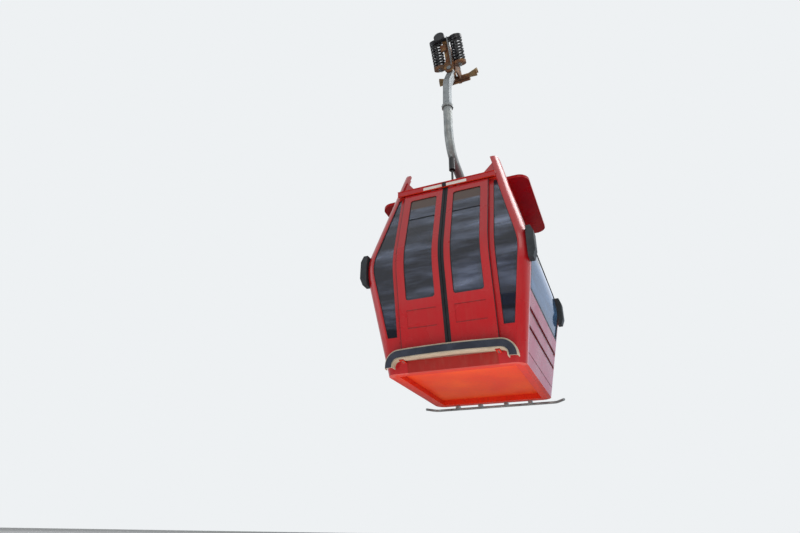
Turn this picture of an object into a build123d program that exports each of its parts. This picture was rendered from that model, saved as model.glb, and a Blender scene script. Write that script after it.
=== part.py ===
from build123d import *

import os
from math import cos, pi, radians, sin

# Cable car cabin for eight seated people, hung from a clamped rope by a hanger arm.
# Axes: X along the rope, the door side at -Y, Z up. The origin is the rope's centre
# in the jaws of the grip. Lengths in mm. Heights are counted up from the underside
# of the floor frame and turned into Z by up().

os.makedirs("parts", exist_ok=True)

# Outline of the cabin: straight sides that lean out to the belt and in above it
rope_height = 4360.0
floor_half_x = 664.0
belt_half_x = 847.0
top_half_x = 560.0
floor_half_y = 767.0
belt_half_y = 1005.0
top_half_y = 655.0
belt_height = 1080.0
post_top_height = 2380.0
belt_bend_radius = 700.0
corner_radius = 110.0
slab_margin = 300.0
post_crown_radius = 45.0

# Body panels and posts
wall = 40.0
post_depth = 52.0
post_face_x = 88.0
post_face_y = 120.0
beam_depth = 52.0
floor_frame_height = 60.0
floor_frame_width = 48.0
floor_top = 90.0
sill_height = 110.0
header_bottom = 1966.0
header_height = 74.0
roof_bottom = header_bottom + header_height
roof_thickness = 40.0
gusset_length = 170.0
gusset_thickness = 12.0
gusset_inset = 16.0
gusset_top_drop = 60.0

# Doors
door_half_width = 465.0
door_bottom = 140.0
door_top_lap = 8.0
door_top = header_bottom + door_top_lap
door_thickness = 28.0
door_gap = 6.0
door_overlap = 30.0
door_travel = 370.0
seal_half_width = 30.0
seal_slit = 5.0
door_window_inner = 92.0
door_window_outer = 388.0
door_window_bottom = 658.0
door_window_head = 86.0
door_window_top = door_top - door_window_head
door_window_radius = 28.0
door_press_depth = 5.0
door_press_bottom = 392.0
door_press_top = 560.0

# Glass
glass_thickness = 6.0
glass_inset = 12.0
quarter_inner_x = 517.0
quarter_frame = 14.0
quarter_head = 6.0
quarter_bottom = 335.0
end_window_bottom = 655.0
end_window_seal = 26.0
end_window_glass_inset = 10.0

# Grooves pressed in the end panels: height of the middle, width, depth
END_GROOVES = (
    (487.0, 42.0, 14.0),
    (327.0, 30.0, 14.0),
    (107.0, 7.0, 6.0),
)

# Door rail over the doorway, with two hangers on each leaf
rail_half_length = 548.0
rail_clearance = 8.0
rail_bottom = door_top + rail_clearance
rail_height = 58.0
rail_inside_width = 50.0
rail_wall = 4.0
rail_slot = 20.0
rail_lip = 8.0
carrier_plate = 8.0
carrier_width = 40.0
roller_radius = 13.0
roller_width = 12.0
carrier_places = (62.0, 142.0)
running_gap = 0.3
label_height = 34.0
label_thickness = 2.0
label_radius = 4.0
LABEL_SPANS = ((-245.0, -35.0), (15.0, 240.0))

# Sill guide under the leaves
guide_height = 26.0
guide_inside_width = 24.0
guide_wall = 4.0
guide_pin_radius = 5.0
guide_clearance = 6.0

# Hoods over the end windows and buffers on the corners
hood_reach = 210.0
hood_half_y = 620.0
hood_thickness = 40.0
hood_lap = 4.0
hood_bottom = roof_bottom - hood_lap
hood_corner_radius = 120.0
hood_edge_radius = 12.0
buffer_outer_x = 886.0
buffer_inner_x = 812.0
buffer_inner_y = 862.0
buffer_height = 330.0
buffer_middle = 1060.0
buffer_corner_radius = 42.0
buffer_edge_radius = 15.0
buffer_taper = 80.0
buffer_slope = 28.0

# Bumper in front of the sill and guide rail behind it
bumper_front_y = 940.0
bumper_bow = 60.0
bumper_depth = 80.0
bumper_height = 92.0
bumper_middle = 145.0
bumper_half_length = 585.0
bumper_end_height = 30.0
bumper_wall = 8.0
bumper_bend = 104.0
bumper_corner_radius = 52.0
bumper_side_margin = 5.0
bumper_clearance = 10.0
bumper_rubber_height = 64.0
bumper_rubber_proud = 8.0
bracket_places = (-454.0, 454.0)
bracket_overlap = 30.0
bracket_width = 42.0
bracket_thickness = 10.0
guide_rail_radius = 14.0
guide_rail_y = 806.0
guide_rail_half_length = 700.0
guide_rail_end_x = 792.0
guide_rail_end_y = 690.0
guide_rail_height = -26.0
guide_rail_bend = 70.0
guide_rail_tabs = (-420.0, -150.0, 150.0, 420.0)

# Benches
seat_height = 520.0
seat_depth = 345.0
seat_thickness = 45.0
bench_back_height = 960.0
bench_clearance = 6.0

# Roof frame and foot of the hanger
roof_beam_x = 160.0
roof_beam_width = 60.0
roof_beam_height = 46.0
roof_beam_half_y = 600.0
foot_plate_x = 66.0
foot_plate_thickness = 14.0
foot_plate_half_y = 80.0
foot_plate_low_half_y = 104.0
foot_base_half_y = 120.0
foot_plate_top = 2590.0
foot_base_thickness = 16.0
foot_pin_radius = 16.0
foot_nut_radius = 25.6
foot_pin_heights = (2420.0, 2520.0)

# Hanger arm: cast upper arm, bolted flange, and a tube that comes in under the rope
pivot_y = -430.0
pivot_drop = 270.0
pivot_height = rope_height - pivot_drop
pivot_radius = 20.0
pivot_clearance = 0.05
pivot_head = 12.0
pivot_head_radius = 28.0
eye_radius = 50.0
eye_width = 60.0
cheek_gap = 6.0
cheek_thickness = 23.0
cheek_radius = 60.0
arm_thickness = 80.0
arm_width = 104.0
arm_top_drop = 100.0
arm_top_height = pivot_height - arm_top_drop
arm_bow_y = -590.0
arm_bow_height = 3700.0
arm_bow_radius = 300.0
flange_y = -618.0
flange_height = 3290.0
flange_radius = 68.0
flange_thickness = 20.0
tube_radius = 53.0
tube_bend_y = -606.0
tube_bend_height = 2850.0
tube_run_y = -500.0
tube_run_height = 2620.0
tube_end_height = 2480.0
tube_bend_radii = (500.0, 290.0)

# Damper between the tube's lower bend and the roof
damper_y = -520.0
damper_radius = 36.0
damper_top = 2590.0
damper_bottom = 2410.0
damper_rod_radius = 13.0
damper_lug_radius = 26.0
damper_lug_thickness = 24.0
damper_seat_taper = 12.0

# Grip, its places counted from the rope's centre
rope_radius = 20.0
jaw_clearance = 0.1
jaw_radius = 50.0
jaw_length = 300.0
jaw_gap = 8.0
jaw_lean = 30.0
lever_half_thickness = 22.0
lever_width = 50.0
lever_height = 98.0
lever_inner_y = 54.0
lever_bend = 30.0
lever_pivot_y = -130.0
lever_pivot_radius = 16.0
side_plate_thickness = 18.0
side_plate_gap = 6.0
clevis_clearance = 12.0
clevis_height = 44.0
spring_seat_y = -440.0
spring_seat_z = -155.0
spring_lean = 30.0
spring_length = 300.0
spring_x = 136.0
spring_radius = 84.0
spring_wire_radius = 12.5
spring_turns = 8
spring_segments = 12
spring_wire_sides = 6
spring_rod_radius = 16.0
spring_cup_radius = 82.0
spring_cup_height = 38.0
spring_web_width = 92.0
lever_roller_radius = 70.0
lever_roller_width = 36.0
lever_roller_x = 54.0
lever_roller_drop = 34.0
lever_stub_length = 47.0
lever_roller_forward = 84.0
shoe_length = 120.0
shoe_radius = 88.0
shoe_mouth_radius = 70.0

# Outline of the side plates: y and z of each corner
GRIP_PLATE = (
    (-22.0, 44.0), (-95.0, 138.0), (-170.0, 138.0), (-300.0, 20.0), (-489.0, -100.0),
    (-489.0, -198.0), (-371.0, -198.0), (-230.0, -120.0), (-60.0, -62.0), (-46.0, -20.0),
)

SIDES = (-1, 1)
NUT_SIDES = 6
FAR = 3000.0


def up(height):
    """Z of a height counted from the underside of the floor frame."""
    return height - rope_height


def half_width(height, floor, belt, top):
    """Half a width of the cabin at a height, with the belt's bend left sharp."""
    if height < belt_height:
        return floor + (belt - floor) * height / belt_height
    return belt + (top - belt) * (height - belt_height) / (post_top_height - belt_height)


def half_x(height):
    """Half length of the cabin along the rope at a height."""
    return half_width(height, floor_half_x, belt_half_x, top_half_x)


def half_y(height):
    """Half depth of the cabin from door side to rear at a height."""
    return half_width(height, floor_half_y, belt_half_y, top_half_y)


def tapered_slab(plane, widths, inset, low=-slab_margin, high=post_top_height + slab_margin, crown=0.0):
    """The cabin's outline seen square on, its sides moved in by inset, pulled through."""
    low_half, belt_half, high_half = (half_width(h, *widths) for h in (low, belt_height, high))
    with BuildPart() as slab:
        with BuildSketch(plane) as face:
            with BuildLine():
                Polyline(
                    (-low_half, up(low)), (-belt_half, up(belt_height)), (-high_half, up(high)),
                    (high_half, up(high)), (belt_half, up(belt_height)), (low_half, up(low)),
                    close=True,
                )
            make_face()
            fillet(face.vertices().sort_by(Axis.Y)[2:4], belt_bend_radius)
            if crown:
                fillet(face.vertices().sort_by(Axis.Y)[-2:], crown)
            if inset:
                offset(amount=-inset)
        extrude(amount=FAR, both=True)
    return slab.part


WIDTHS_X = (floor_half_x, belt_half_x, top_half_x)
WIDTHS_Y = (floor_half_y, belt_half_y, top_half_y)


def slab_x(inset, **limits):
    """Everything between the two end faces of the cabin, moved in by inset."""
    return tapered_slab(Plane.XZ, WIDTHS_X, inset, **limits)


def slab_y(inset, **limits):
    """Everything between the door face and the rear face, moved in by inset."""
    return tapered_slab(Plane.YZ, WIDTHS_Y, inset, **limits)


def cabin_form(inset):
    """The closed outline of the cabin with rounded corners, its faces moved in by inset."""
    with BuildPart() as form:
        add(slab_y(inset))
        add(slab_x(inset), mode=Mode.INTERSECT)
        corners = form.edges().filter_by(lambda edge: abs((edge % 0.5).Z) > 0.5)
        fillet(corners, corner_radius - inset)
    return form.part


def block(x_span, y_span, low, high):
    """A plain box between two x values, two y values and two heights."""
    with BuildPart() as box:
        with BuildSketch(Plane.XY.offset(up(low))):
            with Locations((sum(x_span) / 2, sum(y_span) / 2)):
                Rectangle(x_span[1] - x_span[0], y_span[1] - y_span[0])
        extrude(amount=high - low)
    return box.part


def levels(low, high):
    """Everything between two heights."""
    return block((-FAR, FAR), (-FAR, FAR), low, high)


def save(piece, name):
    """Label a finished piece and write it."""
    piece.part.label = name
    export_step(piece.part, f"parts/{name}.step")


def save_pair(piece, name):
    """Write a piece of the right-hand side and its mirror image on the left."""
    save(piece, f"{name}_right")
    with BuildPart() as other:
        add(piece.part.mirror(Plane.YZ))
    save(other, f"{name}_left")


def save_corners(piece, name):
    """Write a piece of the front right corner and its images on the other three."""
    save_pair(piece, f"{name}_front")
    with BuildPart() as behind:
        add(piece.part.mirror(Plane.XZ))
    save_pair(behind, f"{name}_rear")


def post_corners():
    """The four corner spaces that the posts stand in."""
    with BuildPart() as corners:
        add(levels(-floor_top, post_top_height + floor_top))
        add(between_posts_x, mode=Mode.SUBTRACT)
        add(between_posts_y, mode=Mode.SUBTRACT)
    return corners.part


def inside_posts(inset):
    """The cabin's form moved in by inset, less the solid posts that stand in its corners."""
    with BuildPart() as space:
        add(cabin_form(inset))
        add(post_corners(), mode=Mode.SUBTRACT)
        add(post_form)
    return space.part


outer_form = cabin_form(0)
post_form = cabin_form(post_depth)
beam_form = cabin_form(beam_depth)
between_posts_x = slab_x(post_face_x)
between_posts_y = slab_y(post_face_y)
face_x = slab_x(0)
face_y = slab_y(0)
inside_x = slab_x(wall)
inside_y = slab_y(wall)
doorway_half_width = door_half_width - door_overlap

# Four corner posts: rounded boxes that lean with both faces, with rounded tops
with BuildPart() as post:
    add(outer_form)
    add(between_posts_x, mode=Mode.SUBTRACT)
    add(between_posts_y, mode=Mode.SUBTRACT)
    add(post_form, mode=Mode.SUBTRACT)
    add(slab_x(0, low=0, high=post_top_height, crown=post_crown_radius), mode=Mode.INTERSECT)
    add(slab_y(0, low=0, high=post_top_height, crown=post_crown_radius), mode=Mode.INTERSECT)
    add(block((0, FAR), (-FAR, 0), 0, post_top_height), mode=Mode.INTERSECT)
save_corners(post, "post")

# Panels beside the doorway, each with its tall narrow window, and its glass
quarter_inset = post_face_x + quarter_frame
with BuildPart() as quarter_opening:
    add(slab_x(quarter_inset))
    add(block((quarter_inner_x, FAR), (-FAR, 0), quarter_bottom, header_bottom - quarter_head),
        mode=Mode.INTERSECT)
with BuildPart() as side_panel:
    add(face_y)
    add(inside_y, mode=Mode.SUBTRACT)
    add(between_posts_x, mode=Mode.INTERSECT)
    add(block((doorway_half_width, FAR), (-FAR, 0), 0, header_bottom), mode=Mode.INTERSECT)
    add(quarter_opening.part, mode=Mode.SUBTRACT)
save_pair(side_panel, "side_panel")
with BuildPart() as quarter_glass:
    add(slab_y(glass_inset))
    add(slab_y(glass_inset + glass_thickness), mode=Mode.SUBTRACT)
    add(quarter_opening.part, mode=Mode.INTERSECT)
    mirror(about=Plane.YZ)
    mirror(about=Plane.XZ)
save(quarter_glass, "quarter_glass")

# Sill below the doorway
with BuildPart() as door_sill:
    add(face_y)
    add(inside_y, mode=Mode.SUBTRACT)
    add(block((-doorway_half_width, doorway_half_width), (-FAR, 0), 0, sill_height), mode=Mode.INTERSECT)
save(door_sill, "door_sill")

# Rear wall in one piece between the rear posts, with the same four windows
with BuildPart() as pane_openings:
    with BuildSketch(Plane.XZ):
        for side in SIDES:
            with Locations((side * (door_window_inner + door_window_outer) / 2,
                            up((door_window_bottom + door_window_top) / 2))):
                RectangleRounded(door_window_outer - door_window_inner,
                                 door_window_top - door_window_bottom, door_window_radius)
    extrude(amount=FAR, both=True)
with BuildPart() as rear_wall:
    add(face_y)
    add(inside_y, mode=Mode.SUBTRACT)
    add(between_posts_x, mode=Mode.INTERSECT)
    add(block((-FAR, FAR), (0, FAR), 0, header_bottom), mode=Mode.INTERSECT)
    add(pane_openings.part, mode=Mode.SUBTRACT)
    add(quarter_opening.part.mirror(Plane.XZ), mode=Mode.SUBTRACT)
    add(quarter_opening.part.mirror(Plane.XZ).mirror(Plane.YZ), mode=Mode.SUBTRACT)
save(rear_wall, "rear_wall")
with BuildPart() as rear_glass:
    add(slab_y(glass_inset))
    add(slab_y(glass_inset + glass_thickness), mode=Mode.SUBTRACT)
    add(pane_openings.part, mode=Mode.INTERSECT)
    add(block((-FAR, FAR), (0, FAR), 0, FAR), mode=Mode.INTERSECT)
save(rear_glass, "rear_glass")

# Beams round the top of the walls, each between two posts
with BuildPart() as header_beams:
    add(outer_form)
    add(beam_form, mode=Mode.SUBTRACT)
    add(levels(header_bottom, roof_bottom), mode=Mode.INTERSECT)
    add(post_corners(), mode=Mode.SUBTRACT)
save(header_beams, "header_beams")

# End walls: pressed panel below, glass above it up to the header beam
with BuildPart() as end_panel:
    add(face_x)
    add(inside_x, mode=Mode.SUBTRACT)
    add(between_posts_y, mode=Mode.INTERSECT)
    add(block((0, FAR), (-FAR, FAR), 0, end_window_bottom), mode=Mode.INTERSECT)
    for middle, width, depth in END_GROOVES:
        with BuildPart(mode=Mode.PRIVATE) as groove:
            add(levels(middle - width / 2, middle + width / 2))
            add(slab_x(depth), mode=Mode.SUBTRACT)
        add(groove.part, mode=Mode.SUBTRACT)
save_pair(end_panel, "end_panel")
with BuildPart() as end_opening:
    add(between_posts_y)
    add(block((0, FAR), (-FAR, FAR), end_window_bottom, header_bottom), mode=Mode.INTERSECT)
with BuildPart() as end_pane:
    add(slab_y(post_face_y + end_window_seal))
    add(block((0, FAR), (-FAR, FAR), end_window_bottom + end_window_seal,
              header_bottom - end_window_seal), mode=Mode.INTERSECT)
with BuildPart() as end_window_seals:
    add(face_x)
    add(inside_x, mode=Mode.SUBTRACT)
    add(end_opening.part, mode=Mode.INTERSECT)
    add(end_pane.part, mode=Mode.SUBTRACT)
    mirror(about=Plane.YZ)
save(end_window_seals, "end_window_seals")
with BuildPart() as end_window_glass:
    add(slab_x(end_window_glass_inset))
    add(slab_x(end_window_glass_inset + glass_thickness), mode=Mode.SUBTRACT)
    add(end_pane.part, mode=Mode.INTERSECT)
    mirror(about=Plane.YZ)
save(end_window_glass, "end_window_glass")

# Floor pan set up inside the frame that the panels and posts stand round
floor_outline = inside_posts(wall)
with BuildPart() as floor_frame:
    add(floor_outline)
    add(cabin_form(post_depth + floor_frame_width), mode=Mode.SUBTRACT)
    add(levels(0, floor_frame_height), mode=Mode.INTERSECT)
save(floor_frame, "floor_frame")
with BuildPart() as floor_pan:
    add(floor_outline)
    add(levels(floor_frame_height, floor_top), mode=Mode.INTERSECT)
save(floor_pan, "floor_pan")

# Roof between the posts
with BuildPart() as roof:
    add(inside_posts(0))
    add(levels(roof_bottom, roof_bottom + roof_thickness), mode=Mode.INTERSECT)
save(roof, "roof")
roof_top = roof_bottom + roof_thickness

# Doors: two curved leaves that slide apart outside the side panels
rail_outside_width = rail_inside_width + 2 * rail_wall
rail_y = half_y(rail_bottom) + rail_outside_width / 2
roller_height = rail_bottom + rail_wall + running_gap + roller_radius
guide_y = half_y(door_bottom) + door_gap + door_thickness / 2
guide_bottom = door_bottom - guide_clearance - guide_height
with BuildPart() as leaf_form:
    add(slab_y(-door_gap - door_thickness))
    add(slab_y(-door_gap), mode=Mode.SUBTRACT)
    add(block((-FAR, FAR), (-FAR, 0), door_bottom, door_top), mode=Mode.INTERSECT)
with BuildPart() as door_leaf:
    add(leaf_form.part)
    add(block((seal_half_width, door_half_width), (-FAR, 0), door_bottom, door_top),
        mode=Mode.INTERSECT)
    add(pane_openings.part, mode=Mode.SUBTRACT)
    with BuildPart(mode=Mode.PRIVATE) as press:
        add(block((door_window_inner, door_window_outer), (-FAR, 0), door_press_bottom, door_press_top))
        add(slab_y(door_press_depth - door_gap - door_thickness), mode=Mode.SUBTRACT)
    add(press.part, mode=Mode.SUBTRACT)
    with BuildSketch(Plane.XY.offset(up(door_bottom + guide_clearance))):
        with Locations(*((place, -guide_y) for place in carrier_places)):
            Circle(guide_pin_radius)
    extrude(amount=guide_wall - guide_clearance - guide_height)
save_pair(door_leaf, "door_leaf")
with BuildPart() as door_seal:
    add(leaf_form.part)
    add(block((seal_slit / 2, seal_half_width), (-FAR, 0), door_bottom, door_top), mode=Mode.INTERSECT)
save_pair(door_seal, "door_seal")
with BuildPart() as door_glass:
    add(slab_y(glass_inset - door_gap - door_thickness))
    add(slab_y(glass_inset + glass_thickness - door_gap - door_thickness), mode=Mode.SUBTRACT)
    add(pane_openings.part, mode=Mode.INTERSECT)
    add(block((0, FAR), (-FAR, 0), 0, FAR), mode=Mode.INTERSECT)
save_pair(door_glass, "door_glass")
with BuildPart() as door_hangers:
    with BuildSketch(Plane.XY.offset(up(door_top))):
        with Locations(*((place, -rail_y) for place in carrier_places)):
            Rectangle(carrier_width, carrier_plate)
    extrude(amount=roller_height + roller_radius / 2 - door_top)
    with BuildSketch(Plane.XZ.offset(rail_y)):
        with Locations(*((place, up(roller_height)) for place in carrier_places)):
            Circle(roller_radius)
    extrude(amount=carrier_plate / 2 + roller_width, both=True)
save_pair(door_hangers, "door_hangers")

# Rail that the leaves hang in, a channel with a slot below, and the two blank labels on it
with BuildPart() as door_rail:
    with BuildSketch(Plane.YZ):
        with Locations((-rail_y + wall / 2, up(rail_bottom + rail_height / 2))):
            Rectangle(rail_outside_width + wall, rail_height)
        with Locations((-rail_y - rail_outside_width / 2, up(rail_bottom + rail_height))):
            Rectangle(2 * rail_lip, rail_wall, align=(Align.CENTER, Align.MAX))
        with Locations((-rail_y, up(rail_bottom + rail_height / 2))):
            Rectangle(rail_inside_width, rail_height - 2 * rail_wall, mode=Mode.SUBTRACT)
        with Locations((-rail_y, up(rail_bottom))):
            Rectangle(rail_slot, 3 * rail_wall, mode=Mode.SUBTRACT)
    extrude(amount=rail_half_length, both=True)
    add(face_y, mode=Mode.SUBTRACT)
save(door_rail, "door_rail")
with BuildPart() as header_labels:
    with BuildSketch(Plane.XZ.offset(rail_y + rail_outside_width / 2)):
        for start, end in LABEL_SPANS:
            with Locations(((start + end) / 2, up(rail_bottom + label_height / 2 + rail_wall))):
                RectangleRounded(end - start, label_height, label_radius)
    extrude(amount=label_thickness)
save(header_labels, "header_labels")

# Guide on the sill for the pins below the leaves
with BuildPart() as sill_guide:
    with BuildSketch(Plane.YZ):
        with Locations((-guide_y + wall / 2, up(guide_bottom + guide_height / 2))):
            Rectangle(guide_inside_width + 2 * guide_wall + wall, guide_height)
        with Locations((-guide_y, up(guide_bottom + guide_wall))):
            Rectangle(guide_inside_width, guide_height, align=(Align.CENTER, Align.MIN),
                      mode=Mode.SUBTRACT)
    extrude(amount=carrier_places[-1] + door_travel + 2 * guide_inside_width, both=True)
    add(face_y, mode=Mode.SUBTRACT)
save(sill_guide, "sill_guide")

# Hoods over the end windows, flat plates with rounded outer corners
with BuildPart() as hoods:
    with BuildSketch(Plane.XY.offset(up(hood_bottom))) as hood_plan:
        with Locations((half_x(hood_bottom) + hood_reach, 0)):
            Rectangle(2 * hood_reach, 2 * hood_half_y, align=(Align.MAX, Align.CENTER))
        fillet(hood_plan.vertices().group_by(Axis.X)[-1], hood_corner_radius)
    extrude(amount=hood_thickness)
    add(face_x, mode=Mode.SUBTRACT)
    fillet(hoods.faces().sort_by(Axis.Z)[-1].edges().sort_by(Axis.X)[1:], hood_edge_radius)
    mirror(about=Plane.YZ)
save(hoods, "hoods")

# Rubber buffers at belt height, wrapped round the end side of each post, clear of the leaves
buffer_top = buffer_middle + buffer_height / 2
buffer_foot = buffer_middle - buffer_height / 2
with BuildPart() as buffers:
    with BuildSketch(Plane.XY.offset(up(buffer_foot))) as buffer_plan:
        with Locations((buffer_inner_x, -buffer_inner_y)):
            Rectangle(buffer_outer_x - buffer_inner_x, belt_half_y - buffer_inner_y,
                      align=(Align.MIN, Align.MAX))
        buffer_ends = buffer_plan.vertices().group_by(Axis.X)[-1].sort_by(Axis.Y)
        fillet(buffer_ends[0], buffer_corner_radius)
        fillet(buffer_plan.vertices().group_by(Axis.X)[-1].sort_by(Axis.Y)[-1], buffer_edge_radius)
    extrude(amount=buffer_height)
    with BuildSketch(Plane.XZ):
        with BuildLine():
            Polyline(
                (0, up(buffer_foot)), (buffer_outer_x - buffer_slope, up(buffer_foot)),
                (buffer_outer_x, up(buffer_foot + buffer_taper)),
                (buffer_outer_x, up(buffer_top - buffer_taper)),
                (buffer_outer_x - buffer_slope, up(buffer_top)), (0, up(buffer_top)), close=True,
            )
        make_face()
    extrude(amount=FAR, mode=Mode.INTERSECT)
    add(face_y, mode=Mode.INTERSECT)
    add(outer_form, mode=Mode.SUBTRACT)
    mirror(about=Plane.XZ)
    mirror(about=Plane.YZ)
save(buffers, "buffers")

# Bumper in front of the sill: a bowed channel whose ends turn down and back, with a rubber face
bumper_back_y = bumper_front_y - bumper_depth
behind_bumper = slab_y(-door_gap - door_thickness - bumper_clearance)


def bumper_line(width):
    """The bumper seen from the front, as a band of some width whose ends turn down."""
    with BuildPart() as band:
        with BuildSketch(Plane.XZ):
            with BuildLine():
                FilletPolyline(
                    (-bumper_half_length, up(bumper_end_height)), (-bumper_half_length, up(bumper_middle)),
                    (bumper_half_length, up(bumper_middle)), (bumper_half_length, up(bumper_end_height)),
                    radius=bumper_bend,
                )
            trace(line_width=width)
        extrude(amount=FAR)
    return band.part


def bumper_plan(inset):
    """Everything behind the bumper's bowed front, moved in by inset, seen from above."""
    reach = bumper_half_length + bumper_height / 2 + bumper_side_margin - inset
    middle = (0, inset - bumper_front_y)
    ends = [(side * reach, middle[1] + bumper_bow) for side in SIDES]
    with BuildPart() as plan:
        with BuildSketch(Plane.XY.offset(up(0))) as outline:
            with BuildLine():
                ThreePointArc(ends[0], middle, ends[1])
                Polyline(ends[1], (reach, 0), (-reach, 0), ends[0])
            make_face()
            if inset < bumper_corner_radius:
                fillet(outline.vertices().sort_by(Axis.Y)[:2], bumper_corner_radius - inset)
        extrude(amount=bumper_middle + bumper_height)
    return plan.part


with BuildPart() as bumper_rail:
    add(bumper_plan(0))
    add(bumper_plan(bumper_depth), mode=Mode.SUBTRACT)
    add(bumper_line(bumper_height), mode=Mode.INTERSECT)
    with BuildPart(mode=Mode.PRIVATE) as hollow:
        add(bumper_plan(bumper_wall))
        add(bumper_line(bumper_height - 2 * bumper_wall), mode=Mode.INTERSECT)
    add(hollow.part, mode=Mode.SUBTRACT)
    add(behind_bumper, mode=Mode.SUBTRACT)
save(bumper_rail, "bumper_rail")
with BuildPart() as bumper_rubber:
    add(bumper_plan(-bumper_rubber_proud))
    add(bumper_plan(0), mode=Mode.SUBTRACT)
    add(bumper_line(bumper_rubber_height), mode=Mode.INTERSECT)
    add(behind_bumper, mode=Mode.SUBTRACT)
save(bumper_rubber, "bumper_rubber")
with BuildPart() as bumper_brackets:
    with BuildSketch(Plane.XY.offset(up(bumper_middle - bumper_height / 2))):
        with Locations(*((place, -bumper_back_y - bracket_overlap) for place in bracket_places)):
            Rectangle(bracket_width, bracket_overlap + bumper_depth, align=(Align.CENTER, Align.MIN))
    extrude(amount=-bracket_thickness)
    add(face_y, mode=Mode.SUBTRACT)
save(bumper_brackets, "bumper_brackets")

# Guide rail under the rear edge, its ends curled in, on four tabs
with BuildPart() as guide_rail:
    with BuildLine(Plane.XY.offset(up(guide_rail_height))) as rail_line:
        FilletPolyline(
            (-guide_rail_end_x, guide_rail_end_y), (-guide_rail_half_length, guide_rail_y),
            (guide_rail_half_length, guide_rail_y), (guide_rail_end_x, guide_rail_end_y),
            radius=guide_rail_bend,
        )
    with BuildSketch(Plane(origin=rail_line.line @ 0, z_dir=rail_line.line % 0)):
        Circle(guide_rail_radius)
    sweep()
    with BuildSketch(Plane.XY.offset(up(guide_rail_height))):
        with Locations(*((place, guide_rail_y) for place in guide_rail_tabs)):
            Rectangle(bracket_width, guide_rail_y - floor_half_y + wall, align=(Align.CENTER, Align.MAX))
    extrude(amount=-guide_rail_height)
save(guide_rail, "guide_rail")

# Benches along the two end walls, facing each other
with BuildPart() as bench_space:
    add(cabin_form(post_depth + bench_clearance))
    add(block((0, FAR), (-FAR, FAR), floor_top, bench_back_height), mode=Mode.INTERSECT)
seat_front = half_x(seat_height) - post_depth - seat_depth
with BuildPart() as benches:
    add(block((seat_front, FAR), (-FAR, FAR), seat_height - seat_thickness, seat_height))
    add(block((seat_front + seat_thickness, seat_front + 2 * seat_thickness), (-FAR, FAR),
              floor_top, seat_height - seat_thickness))
    with BuildPart(mode=Mode.PRIVATE) as seat_back:
        add(block((0, FAR), (-FAR, FAR), seat_height, bench_back_height))
        add(slab_x(post_depth + bench_clearance + seat_thickness), mode=Mode.SUBTRACT)
    add(seat_back.part)
    add(bench_space.part, mode=Mode.INTERSECT)
    mirror(about=Plane.YZ)
save(benches, "benches")

# Roof frame: two beams across the cabin, a tie between them, and gussets to the posts
frame_top = roof_top + roof_beam_height
with BuildPart() as roof_frame:
    with BuildSketch(Plane.XY.offset(up(roof_top))):
        with Locations((-roof_beam_x, 0), (roof_beam_x, 0)):
            Rectangle(roof_beam_width, 2 * roof_beam_half_y)
        with Locations((0, damper_y), (0, -damper_y)):
            Rectangle(2 * roof_beam_x, roof_beam_width)
    extrude(amount=roof_beam_height)
    with BuildSketch(Plane.XY.offset(up(frame_top))):
        with Locations((0, damper_y)):
            Rectangle(3 * damper_lug_radius, 2 * damper_lug_radius)
    extrude(amount=damper_lug_radius, taper=damper_seat_taper)
save(roof_frame, "roof_frame")
gusset_x = half_x(roof_top) - post_face_x
with BuildPart() as gusset:
    add(slab_y(gusset_inset))
    add(slab_y(gusset_inset + gusset_thickness), mode=Mode.SUBTRACT)
    with BuildSketch(Plane.XZ):
        with BuildLine():
            Polyline(
                (gusset_x + post_face_x, up(roof_top)),
                (gusset_x, up(post_top_height - gusset_top_drop)),
                (gusset_x - gusset_length, up(roof_top)), close=True,
            )
        make_face()
    extrude(amount=FAR, mode=Mode.INTERSECT)
    add(post_corners(), mode=Mode.SUBTRACT)
    mirror(about=Plane.YZ)
    mirror(about=Plane.XZ)
save(gusset, "roof_gussets")

# Foot of the hanger: two cheeks on a base plate, pinned through the tube's end block
foot_base_top = frame_top + foot_base_thickness
with BuildPart() as hanger_foot:
    with BuildSketch(Plane.XY.offset(up(frame_top))):
        RectangleRounded(2 * roof_beam_x + roof_beam_width, 2 * foot_base_half_y, foot_plate_thickness)
    extrude(amount=foot_base_thickness)
    with BuildSketch(Plane.YZ.offset(foot_plate_x)) as cheek:
        with BuildLine():
            Polyline(
                (-foot_plate_low_half_y, up(foot_base_top)), (-foot_plate_half_y, up(foot_plate_top)),
                (foot_plate_half_y, up(foot_plate_top)), (foot_plate_low_half_y, up(foot_base_top)),
                close=True,
            )
        make_face()
        fillet(cheek.vertices().group_by(Axis.Y)[-1], foot_plate_half_y / 2)
        with Locations(*((0, up(height)) for height in foot_pin_heights)):
            Circle(foot_pin_radius + pivot_clearance, mode=Mode.SUBTRACT)
    extrude(amount=foot_plate_thickness)
    mirror(about=Plane.YZ)
save(hanger_foot, "hanger_foot")
with BuildPart() as foot_pins:
    with BuildSketch(Plane.YZ.offset(-foot_plate_x - foot_plate_thickness)):
        with Locations(*((0, up(height)) for height in foot_pin_heights)):
            Circle(foot_pin_radius)
    extrude(amount=2 * (foot_plate_x + foot_plate_thickness))
    with BuildSketch(Plane.YZ.offset(foot_plate_x + foot_plate_thickness)):
        with Locations(*((0, up(height)) for height in foot_pin_heights)):
            RegularPolygon(foot_nut_radius, NUT_SIDES)
    extrude(amount=foot_plate_thickness)
    mirror(about=Plane.YZ)
save(foot_pins, "foot_pins")

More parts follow.
